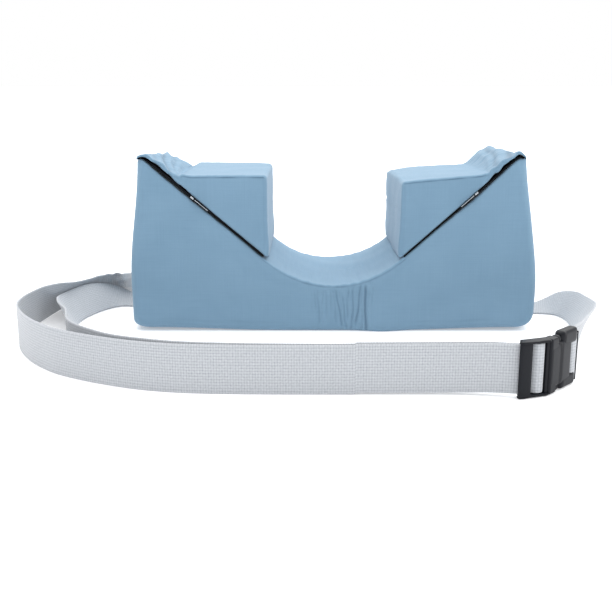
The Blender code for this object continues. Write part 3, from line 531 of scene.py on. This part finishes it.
def padHigh(side, x, y):
    # the pad's own top, running out into the thin flap over the corner
    k = int(side > 0)
    inner, outer = pad["top"][k]
    run = np.clip((x - pad["inner"]) / pad["run"], 0, 1)
    crown = pad["crown"] * np.cos(math.pi * y / pad["crownDepth"]) * np.sin(math.pi * run)
    sink = pad["sink"][k] * ease(-base["halfDepth"], base["halfDepth"], y) * run
    flat = inner + (outer - inner) * (x - pad["inner"]) / pad["run"] + crown - sink
    thin = ease(pad["flapFull"], pad["outer"][k], x)
    flap = padLow(side, x, y) + pad["flapThick"][0] * (1 - thin) + pad["flapThick"][1] * thin
    blended = np.maximum(flat, flap) + 2 * np.log1p(np.exp(-np.abs(flat - flap) / 2))
    return blended + (flap - blended) * ease(pad["flapStart"], pad["flapFull"], x)


def makePad(side, name):
    # one closed ring between padLow and padHigh for each place from the inner face out to the flap's
    # tip, then each point moves along its normal by the sum of seams, puckers, creases and folds
    k = int(side > 0)
    outer = pad["outer"][k]
    near = np.array([0, 0.15, 0.5, 1.1, 2.0, 3.0, 3.8, 4.5, 5.3, 6.5])
    x = np.concatenate([pad["inner"] + near, np.arange(70.5, 136.0, 2.0), np.arange(137.0, outer - 3, 1.0),
                        outer - np.array([2.4, 1.6, 0.9, 0.4, 0.1, 0.0])])[:, None]
    faceCut, tipCut = quarterDrop(x - pad["inner"], pad["round"]), quarterDrop(outer - x, pad["tipRound"])
    curl = pad["curl"] * quarterDrop(outer - x, pad["curlRound"]) / pad["curlRound"]
    y, z = sectionRing(base["halfDepth"] - faceCut - tipCut,
                       lambda y: padLow(side, x, y) + 0.5 * faceCut + 0.2 * tipCut - curl,
                       lambda y: padHigh(side, x, y) - faceCut - 0.3 * tipCut - curl,
                       pad["lowRound"], pad["edgeRound"], dict(corner=5, wall=40, top=72, low=66))
    points = np.stack([side * x + 0 * y, y, z], axis=2)
    points = withEnds(points, pad["endCrown"], (0.96, 0.9, 0.82, 0.72, 0.6, 0.48, 0.36, 0.24, 0.12))
    normals = gridNormals(points)
    px, py, pz = points[..., 0] * side, points[..., 1], points[..., 2]
    up, faces = ease(0.2, 0.8, normals[..., 2]), ease(0.7, 0.95, np.abs(normals[..., 1]))
    inside = ease(0.75, 0.95, -side * normals[..., 0])
    foam = 1 - ease(134, 146, px)
    # seams under the top edge and beside the inner edge, and the puckers along them
    down, fromSide = padHigh(side, px, py) - pz, px - pad["inner"] - pad["sideSeam"]
    seam = bell(down - pad["seamDown"], pad["seamWidth"]) * faces * foam
    sideSeam = bell(fromSide, pad["sideSeamWidth"]) * faces * ease(2, 6, down)
    depth = -pad["seamDepth"] * (seam + 0.5 * sideSeam)
    # painted shade in the seams' dips
    paintedShade = pad["seamShade"] * seam * (1 + 0.4 * waves(px, 0 * px, 19 + k, 40, 14, 8))
    paintedShade = paintedShade + pad["sideSeamShade"] * sideSeam
    near = np.exp(-np.minimum(np.abs(down - pad["seamDown"]), np.abs(fromSide)) / pad["puckerReach"])
    depth = depth + pad["pucker"] * near * waves(px, pz + py, 11 + k, 13, 5, 10) * foam
    depth = depth + pad["softness"] * waves(px + 0.4 * pz, py, 21 + k, 70, 30, 8) * foam * (up + faces)
    # the inner face fills out low down, bulges at the back, and creases across halfway up
    slopeHere = baseTop(side * (px + 0 * py), py)
    lowDown = bell((pz - slopeHere - 12) / 14, 1.0) * inside
    wander = 0.05 * py + 1.6 * np.sin(py / 17) + 0.8 * np.sin(py / 6)
    across = bell(pz - pad["creaseHeight"] + wander, pad["creaseWidth"]) * inside
    across = across * (0.25 + 0.75 * bell(py - 58, 26)) * (0.7 + 0.3 * np.sin(py / 9))
    depth = depth + pad["puff"] * lowDown - pad["crease"][k] * across
    depth = depth + pad["innerSoftness"] * waves(py, pz, 41 + k, 80, 30, 8) * inside
    depth = depth + pad["bulge"][k] * bell(py - 52, 34) * bell(pz - 122, 24) * inside
    # painted shade in the crease across
    paintedShade = paintedShade + pad["creaseShade"] * pad["crease"][k] * across
    # the empty flap: long folds, a back edge that lifts, and crumples
    flap = (1 - foam) * (1 - ease(outer - 7, outer - 1, px))
    folds = 0
    for atFront, atBack, width, height in flapFolds[k]:
        toBack = (py + base["halfDepth"]) / (2 * base["halfDepth"])
        off = px - atFront - (atBack - atFront) * toBack - 1.5 * np.sin(py / 19 + atFront)
        folds = folds + height * (bell(off, width) - 0.45 * bell(off - 2.2 * width, 1.2 * width))
        # painted shade beside each fold on the flap
        paintedShade = paintedShade + pad["foldShade"] * height * bell(off - 2.0 * width, 0.6 * width) * flap * up
    folds = folds + pad["backLift"][k] * bell(px - pad["backLiftAt"], 12) * ease(-30, 60, py)
    crumples = np.abs(waves(px, py, 31 + k, 40, 11, 7))
    depth = depth + (folds + pad["crumple"] * (0.8 - crumples)) * up * flap
    points = points + normals * depth[..., None]
    # the inner corner at the back has slumped, and the flap's edge along the zip is uneven
    points[..., 2] -= pad["cornerDip"][k] * bell(px - 60, 15) * bell(py - 76, 20) * ease(125, 146, pz)
    edge = ease(-58, -73, py) * ease(130, 142, px) * (1 - ease(outer - 5, outer - 1, px)) * pad["edgeWave"]
    points[..., 2] += edge * (0.7 + waves(px, 0 * px, 51 + k, 15, 6, 8))
    points[..., 1] += edge * waves(px, 0.5 * pz, 61 + k, 13, 5, 8)
    return makePiece(name, [points], cotton, paintedShade=paintedShade)


for side, label in ((-1, "left"), (1, "right")):
    wedge = makePad(side, "wedge_cushion_" + label)
    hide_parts("wedge_" + label)
print("wedges made")


# zips: a tape band with its coil, a slider and a hanging pull on each side

zipPart = dict(front=-74.6, back=-62.0, start=66.0, step=0.9, short=2.2, clear=0.4, tip=3.0, square=0.35,
               bulge=0.5, groove=0.6, grooveWidth=0.25, sliderAt=131.0, above=2.1, proud=0.7)
sliderSize = dict(length=3.8, through=1.2, thick=1.0, waist=0.8, bridge=(-1.6, 2.2), bridgeHalf=0.5)
pullSize = dict(length=15.5, through=1.2, thick=0.34, fromSlider=3.0)


def makeZipBand(side, name):
    # a rounded bar that fills the gap under the pad, with a groove along its middle where the tapes meet
    front, back, clear = zipPart["front"], zipPart["back"], zipPart["clear"]
    last = pad["outer"][int(side > 0)] - zipPart["short"]
    x = np.arange(zipPart["start"], last, zipPart["step"])[:, None]
    low = baseTop(side * x, 0 * x + front) + clear
    high = baseTop(side * x, 0 * x + front) + zipGap(side, x) - clear
    around = np.linspace(0, 2 * math.pi, 36, endpoint=False)[None, :]
    across, through = (squared(wave(around), zipPart["square"]) for wave in (np.cos, np.sin))
    tipped = quarterDrop(x[-1] - x, zipPart["tip"])
    z = (low + high) / 2 + (high - low) / 2 * through - 0.5 * tipped
    y = (front + back) / 2 - (back - front) / 2 * across
    groove = zipPart["groove"] * bell(through, zipPart["grooveWidth"])
    y = y - ease(0.6, 1.0, across) * (zipPart["bulge"] * (1 - through**2) - groove)
    return makePiece(name, [np.stack([side * x + 0 * y, y + 0 * x, z], axis=2)], tape)


def makeZipMetal(side, label):
    # slider: a bar waisted between its two plates, with a bridge over it. pull: a thin tab with a
    # thicker rim at its far end, hanging down the slope
    size, deep = sliderSize, sliderSize["through"]
    angle = math.atan(base["slope"][int(side > 0)])
    slopeHere = float(baseTop(np.array(side * zipPart["sliderAt"]), np.array(-base["halfDepth"])))
    start = np.array([side * zipPart["sliderAt"], zipPart["front"] - zipPart["proud"] - deep,
                      slopeHere + zipPart["above"]])
    downhill = np.array([-side * math.cos(angle), 0, -math.sin(angle)])
    uphill = np.array([-side * math.sin(angle), 0, math.cos(angle)])
    outward = np.array([0, -1.0, 0])

    def place(along, across, through):
        return start + along[..., None] * downhill + across[..., None] * uphill + through[..., None] * outward

    stations = np.linspace(-size["length"] / 2, size["length"] / 2, 7)
    waist = 1 - (1 - size["waist"]) * np.array([0, 0.4, 0.9, 1.0, 0.7, 0.3, 0])
    body = roundedBar(stations, size["thick"] * waist, 0 * stations + deep, place, ends=0.9)
    halves = [size["bridgeHalf"]] * 2
    bridge = roundedBar(size["bridge"], halves, halves, lambda s, a, t: place(s, a, t + deep + 0.2),
                        ends=0.4, ring=16)
    slider = makePiece("zip_slider_body_" + label, [body, bridge], nickel)
    first, last = pullSize["fromSlider"], pullSize["fromSlider"] + pullSize["length"]
    tab = roundedBar([first, first + 3, first + 5, last - 3, last],
                     pullSize["thick"] * np.array([1, 1, 0.8, 0.8, 1.2]),
                     pullSize["through"] * np.array([0.7, 1, 0.8, 1, 1]), place, ends=0.45)
    return slider, makePiece("zip_pull_tab_" + label, [tab], nickel)


for side, label in ((-1, "left"), (1, "right")):
    band = makeZipBand(side, "zip_band_" + label)
    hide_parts("zip_tape_" + label)
    slider, pull = makeZipMetal(side, label)
    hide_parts("zip_slider_" + label)
    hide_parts("zip_pull_" + label)
print("zips made")


# strap: one length of elastic webbing, from its free tail to its sewn end

strap = dict(width=39.0, thick=1.8, step=1.0, underTurn=-4.1, underMiddle=24.8, underHalf=186.0,
             underHeight=1.0, limp=1.7, limpRun=(8, 60), limpWaves=(71, 30, 9, 8), settle=0.85)

# lower edge x, y, z, then how far the webbing leans from upright and towards which compass degree
tailRun = (
    (115.0, -258.8, 2.4, 0, 0), (95.0, -256.6, 1.7, 0, 0), (50.0, -255.8, 1.2, 0, 0),
    (-20.0, -256.0, 0.9, 0, 0), (-80.0, -255.0, 0.9, 0, 0), (-122.0, -252.0, 0.9, 0, 0),
    (-158.0, -243.6, 0.9, 0, 0), (-193.0, -228.3, 0.9, 0, 0), (-222.8, -210.5, 0.9, 0, 0),
    (-240.0, -195.5, 0.9, 0, 0), (-259.0, -173.0, 0.9, 0, 0), (-275.5, -145.0, 0.9, 0, 0),
    (-285.5, -119.0, 0.9, 0, 0), (-289.5, -93.0, 0.9, 3, -5), (-290.3, -68.0, 0.9, 8, -10),
    (-290.0, -47.0, 0.9, 13, -20), (-287.8, -26.0, 0.9, 20, -30), (-285.2, -5.0, 0.9, 28, -40),
    (-282.0, 15.0, 0.9, 36, -48), (-276.0, 34.5, 0.9, 41, -55), (-267.0, 50.0, 0.9, 42, -62),
    (-256.0, 61.5, 0.9, 40, -68), (-243.0, 69.0, 0.9, 38, -75), (-229.0, 73.0, 0.9, 39, -84),
    (-214.0, 74.0, 0.9, 40, -90))
leftRun = (
    (-199.0, 20.2, 0.9, 89, 88), (-210.2, 21.5, 0.9, 85, 92), (-217.5, 22.0, 1.2, 77, 98),
    (-224.5, 19.6, 1.0, 66, 108), (-231.0, 12.7, 0.9, 58, 118), (-237.3, 2.4, 0.9, 54, 126),
    (-242.5, -10.5, 0.9, 54, 134), (-248.0, -30.5, 0.9, 55, 137), (-249.5, -52.0, 0.9, 52, 140),
    (-244.0, -75.0, 0.9, 44, 146), (-237.5, -96.0, 0.9, 36, 155), (-232.5, -118.0, 0.9, 24, 165),
    (-230.5, -138.0, 0.9, 11, 175), (-229.8, -155.0, 0.9, 4, 180), (-226.5, -171.0, 0.9, 2, 200),
    (-217.0, -188.0, 0.9, 2, 220), (-200.0, -206.0, 0.9, 2, 230), (-178.0, -223.5, 0.9, 2, 240),
    (-150.0, -237.0, 0.9, 0, 0), (-120.0, -245.5, 0.9, 0, 0), (-80.0, -249.6, 0.9, 0, 0),
    (-20.0, -251.6, 0.9, 0, 0), (50.0, -251.6, 1.2, 0, 0), (95.0, -252.4, 1.7, 0, 0),
    (115.0, -255.2, 2.4, 0, 0))
rightRun = (
    (200.0, -8.4, 0.9, 90, 84), (210.0, -9.4, 0.9, 87, 79), (218.1, -10.5, 0.9, 78, 73),
    (225.0, -13.9, 0.9, 66, 66), (229.6, -20.0, 0.9, 60, 58), (232.2, -31.0, 0.9, 56, 50),
    (232.4, -44.0, 0.9, 57, 43), (231.0, -58.0, 0.9, 56, 36), (227.6, -73.0, 0.9, 52, 29),
    (221.5, -92.0, 1.0, 46, 22), (213.5, -115.0, 1.4, 38, 12), (206.0, -138.0, 1.8, 31, 5),
    (200.8, -160.0, 2.3, 22, 0), (196.2, -182.0, 2.6, 13, -5), (191.2, -200.0, 2.8, 6, -10),
    (187.0, -211.5, 2.9, 1, -20))

# where the halves meet, how each is turned, and how the webbing passes along and through the buckle
buckle = dict(at=(155.6, -255.4), frameTurn=21.0, housingTurn=47.0, middle=22.3, innerSlot=-4.0,
              middleBar=-9.6, endBar=(-22.5, -13.6), slot=32.45, barEnd=40.0, front=2.7, back=-3.0, near=-0.7)


def edgesOf(table):
    # lower edge, then the unit vector across the webbing from the lean and its compass
    rows = np.array(table, float)
    lean, towards = np.radians(rows[:, 3]), np.radians(rows[:, 4])
    across = np.stack([np.sin(lean) * np.cos(towards), np.sin(lean) * np.sin(towards), np.cos(lean)], axis=1)
    return np.concatenate([rows[:, :3], across], axis=1)


def turnedFrom(turn, along, through):
    # x and y of a place along the buckle and out through its front, from where its halves meet
    turn = np.radians(turn)
    x = buckle["at"][0] + along * np.cos(turn) + through * np.sin(turn)
    return x, buckle["at"][1] + along * np.sin(turn) - through * np.cos(turn)


def inBuckle(places):
    # rows along and through the buckle, upright; its two halves are turned differently
    along, through = np.array(places, float).T
    x, y = turnedFrom(np.where(along < 0, buckle["frameTurn"], buckle["housingTurn"]), along, through)
    z = np.full(len(x), buckle["middle"] - strap["width"] / 2)
    return np.stack([x, y, z, 0 * x, 0 * x, 0 * x + 1], axis=1)


def evenRows(rows, step):
    # a Catmull-Rom curve through the rows, then points an even step apart along its middle line
    p = np.vstack([2 * rows[0] - rows[1], rows, 2 * rows[-1] - rows[-2]])
    a, b, c, d = p[:-3, None], p[1:-2, None], p[2:-1, None], p[3:, None]
    t = np.linspace(0, 1, 32, endpoint=False)[None, :, None]
    curve = 0.5 * (2 * b + (c - a) * t + (2 * a - 5 * b + 4 * c - d) * t**2 + (3 * b - a - 3 * c + d) * t**3)
    curve = np.vstack([curve.reshape(-1, 6), rows[-1:]])
    across = curve[:, 3:] / np.linalg.norm(curve[:, 3:], axis=1, keepdims=True)
    middle = curve[:, :3] + across * strap["width"] / 2
    run = np.concatenate([[0], np.cumsum(np.linalg.norm(np.diff(middle, axis=0), axis=1))])
    even = np.linspace(0, run[-1], int(round(run[-1] / step)) + 1)
    return np.stack([np.interp(even, run, column) for column in curve.T], axis=1), even


def strapRoute():
    # from the free end round the loop and through the buckle, back, under the base, and to the sewn end
    turn = math.radians(strap["underTurn"])
    square = np.array([-math.sin(turn), math.cos(turn), 0.0])
    x = np.linspace(-strap["underHalf"], strap["underHalf"], 7)
    under = np.stack([x - strap["width"] / 2 * square[0],
                      strap["underMiddle"] + math.tan(turn) * x - strap["width"] / 2 * math.cos(turn),
                      0 * x + strap["underHeight"], *(0 * x + s for s in square)], axis=1)
    b = buckle
    first, last = b["endBar"]
    bar, inner, slot, end = b["middleBar"], b["innerSlot"], b["slot"], b["barEnd"]
    front, back, near = b["front"], b["back"], b["near"]
    throughFrame = inBuckle([(first + 0.5, near), (last - 0.4, near + 0.2), (bar - 1.4, front - 0.9),
                             (bar + 0.6, front), (inner - 1.9, front), (inner, front - 1.9),
                             (inner, back + 1.6), (inner - 1.6, back), (last, back), (first + 0.5, back - 0.1)])
    throughHousing = inBuckle([(end + 8, back), (slot + 4.5, back), (slot + 1.6, back + 0.3),
                               (slot, back + 1.9), (slot, front - 1.9), (slot + 1.8, front), (end - 0.5, front),
                               (end + 1.6, front - 1.0), (end + 3.4, near + 0.7), (end + 5.2, near + 0.2),
                               (end + 7, near)])
    return np.vstack([edgesOf(tailRun)[::-1], throughFrame, edgesOf(leftRun)[::-1], under,
                      edgesOf(rightRun), throughHousing])


def makeStrap():
    # a thin flat section with round edges, carried along the route
    rows, along = evenRows(strapRoute(), strap["step"])
    across = rows[:, 3:] / np.linalg.norm(rows[:, 3:], axis=1, keepdims=True)
    middle = rows[:, :3] + across * strap["width"] / 2
    face = np.cross(np.gradient(middle, axis=0), across)
    face = face / np.linalg.norm(face, axis=1, keepdims=True)

    # section: both faces, and half circles at the selvedges
    half, thick = strap["width"] / 2, strap["thick"] / 2
    flat = np.linspace(-half + thick, half - thick, 17)
    bend = np.linspace(-math.pi / 2, math.pi / 2, 7)[1:-1]
    edge = half - thick + thick * np.cos(bend)
    s = np.concatenate([flat, edge[::-1], flat[::-1], -edge])
    h = np.concatenate([0 * flat + thick, thick * np.sin(bend[::-1]), 0 * flat - thick, thick * np.sin(bend)])
    points = middle[:, None] + across[:, None] * s[None, :, None] + face[:, None] * h[None, :, None]
    # the free end is creased and crumpled from being pulled through the buckle
    limp = 1 - ease(*strap["limpRun"], along[:, None])
    crumples = strap["limp"] * limp * waves(s[None, :], along[:, None], *strap["limpWaves"])
    points = points + face[:, None] * crumples[..., None]
    # its lower edge is down on the floor, less so the more it leans
    upright = 1 - np.sqrt(np.maximum(1 - across[:, None, 2] ** 2, 0))
    points[..., 2] -= strap["settle"] * upright * (rows[:, None, 2] < 1.0)
    points[..., 2] = np.maximum(points[..., 2], 0.05)
    uv = np.stack([s[None, :] + half + 0 * along[:, None], along[:, None] + 0 * s[None, :]], axis=2)
    return makePiece("elastic_webbing", [points], webbing, uv=uv), along[-1]


webbingPiece, webbingLength = makeStrap()
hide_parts("strap_under", "strap_left", "strap_right", "strap_tail")
print("strap made,", round(webbingLength), "mm long")


# side-release buckle, bowed: its two halves are turned differently about the upright

# from and to along the buckle, then heights from its middle, then depths, front positive
frameSize = dict(height=22.2, front=4.9, back=-4.3, endBar=(-26.0, -15.4), endBarDepth=(1.1, 4.9),
                 rails=(-22.4, 0.4), rail=2.4, corners=(-25.9, -15.0), cornerBack=-0.6,
                 shoulder=(-2.8, 0.3), shoulderFront=3.3, middleBar=(-9.6, -6.0), barHalf=1.4,
                 arms=(-0.8, 16.0), armHeight=(8.5, 13.5), armHalf=1.8,
                 button=(8.6, 15.4), buttonHeight=(15.6, 22.2), buttonDepth=(-3.3, 3.6))
housingSize = dict(front=4.6, back=-4.3, body=(-1.4, 30.4), bodyHeight=17.4, collar=(-1.4, 9.4),
                   collarHeight=(12.0, 22.0), lobes=(15.2, 41.2), lobeInner=12.0, lobeTop=24.2, footTop=22.1,
                   bar=(34.8, 39.6), barHeight=21.0, barHalf=1.6,
                   rim=(41.4, 42.6), rimHeight=20.0, rimDepth=(1.2, 3.6))


def buckleFrame(turn):
    # two kinds of bar for the half of the buckle that is turned like this
    def place(along, upward, through):
        x, y = turnedFrom(turn, along, through)
        return np.stack([x, y, buckle["middle"] + upward + 0 * x], axis=-1)

    def block(along, upward, through, ends, power=0.3, bow=0.0):
        # a rounded bar between these limits, whose middle swells by bow
        run = np.linspace(*along, 9)
        swell = bow * np.sin(math.pi * np.linspace(0, 1, 9))
        up, out = sum(upward) / 2, sum(through) / 2
        return roundedBar(run, 0 * run + (upward[1] - upward[0]) / 2, (through[1] - through[0]) / 2 + swell,
                          lambda s, a, t: place(s, a + up, t + out), ends=ends, power=power, ring=40)

    def post(along, upward, through, ends, power=0.35):
        # the same, standing upright, so its rounded section runs up the buckle
        middle, out = sum(along) / 2, sum(through) / 2
        return roundedBar(upward, [(along[1] - along[0]) / 2] * 2, [(through[1] - through[0]) / 2] * 2,
                          lambda s, a, t: place(a + middle, s, t + out), ends=ends, power=power, ring=40)

    return block, post


def mirrored(sign, limits):
    # limits above the middle, or the same below it, lowest first
    return sorted(sign * limit for limit in limits)


def makeBuckle():
    # both halves are rounded bars that run into each other
    f, h = frameSize, housingSize
    block, post = buckleFrame(buckle["frameTurn"])
    full = (-f["height"], f["height"])
    shells = [post(f["endBar"], full, f["endBarDepth"], ends=3.0, power=0.55),
              post(f["shoulder"], full, (f["back"], f["shoulderFront"]), ends=1.4),
              post(f["middleBar"], full, (-f["barHalf"], f["barHalf"]), ends=1.0)]
    for sign in (-1, 1):
        edges = mirrored(sign, (f["height"] - f["rail"], f["height"]))
        shells.append(block(f["rails"], edges, (f["back"], f["front"]), ends=1.1, power=0.55))
        shells.append(post(f["corners"], edges, (f["cornerBack"], f["front"]), ends=1.1, power=0.75))
    block, post = buckleFrame(buckle["housingTurn"])
    for sign in (-1, 1):
        # sprung arm, and its round button in the housing's side
        armEdges, buttonEdges = mirrored(sign, f["armHeight"]), mirrored(sign, f["buttonHeight"])
        shells.append(block(f["arms"], armEdges, (-f["armHalf"], f["armHalf"]), ends=1.0))
        shells.append(block(f["button"], buttonEdges, f["buttonDepth"], ends=3.2, power=0.8))
    male = makePiece("buckle_adjuster", shells, acetal)

    depths = (h["back"], h["front"])
    shells = [block(h["body"], (-h["bodyHeight"], h["bodyHeight"]), depths, ends=1.4, bow=0.3),
              post(h["bar"], (-h["barHeight"], h["barHeight"]), (-h["barHalf"], h["barHalf"]), ends=0.8),
              post(h["rim"], (-h["rimHeight"], h["rimHeight"]), h["rimDepth"], ends=0.5)]
    for sign, top in ((-1, h["footTop"]), (1, h["lobeTop"])):
        # the body dips in between collar and lobe for its button
        shells.append(block(h["collar"], mirrored(sign, h["collarHeight"]), depths, ends=1.6))
        shells.append(block(h["lobes"], mirrored(sign, (h["lobeInner"], top)), depths, ends=4.4, power=0.5))
    return male, makePiece("buckle_housing", shells, acetal)


adjuster, housing = makeBuckle()
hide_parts("buckle_male")
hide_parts("buckle_female")
print("buckle made")


# floor, light and camera

# white studio paper on a light table: a little light comes up through it, so narrow gaps stay pale
floorSize = dict(side=60.0, front=-20.0, back=90.0, height=-0.0001, glow=0.3)
floorMesh = bpy.data.meshes.new("floor")
floorMesh.from_pydata([(x * floorSize["side"], floorSize[y], floorSize["height"]) for x, y in
                       ((-1, "front"), (1, "front"), (1, "back"), (-1, "back"))], [], [(0, 1, 2, 3)])
paper = newMaterial("white studio paper", Roughness=0.9, Base_Color=linearColour("E6E7E9"),
                    Emission_Color=linearColour("FFFFFF"), Emission_Strength=floorSize["glow"])[0]
floorMesh.materials.append(paper)
floor = addObject("floor", floorMesh)

world = bpy.data.worlds.new("studio")
bpy.context.scene.world = world
bpy.context.scene.view_settings.view_transform = "Standard"  # keeps the colours as they are
world.use_nodes = True
background = world.node_tree.nodes["Background"].inputs
background["Color"].default_value, background["Strength"].default_value = linearColour("FFFFFF"), 1.0

# a very broad soft light from above, a little behind and to the right, then two softboxes that fill
# the front
skylight = dict(tilt=-20.0, lean=10.0, spread=95.0, power=3.25)
overhead = bpy.data.lights.new("skylight", "SUN")
overhead.energy, overhead.angle = skylight["power"], math.radians(skylight["spread"])
lamp = addObject("skylight", overhead)
lamp.rotation_euler = (math.radians(skylight["tilt"]), math.radians(skylight["lean"]), 0)

# where each softbox stands, what it points at, its size in metres and its power in watts
softboxes = {"frontLeft": ((-1.4, -1.5, 0.7), (0, -0.1, 0.08), 1.2, 2.0),
             "frontRight": ((1.4, -1.5, 0.7), (0, -0.1, 0.08), 1.2, 1.0)}
for name, (place, target, size, power) in softboxes.items():
    light = bpy.data.lights.new(name, "AREA")
    light.size, light.energy = size, power
    lamp = addObject(name, light)
    lamp.location = place
    away = np.array(place) - np.array(target)
    across = math.hypot(away[0], away[1])
    lamp.rotation_euler = (math.atan2(across, away[2]), 0, math.atan2(away[1], away[0]) + math.pi / 2)

cameraView = dict(place=(-0.026, -0.905, 0.2286), tilt=76.204, lens=52.94)
lens = bpy.data.cameras.new("camera")
lens.lens, lens.sensor_width = cameraView["lens"], 36.0
camera = addObject("camera", lens)
camera.location = cameraView["place"]
camera.rotation_euler = (math.radians(cameraView["tilt"]), 0, 0)
bpy.context.scene.camera = camera
print("floor, light and camera made")
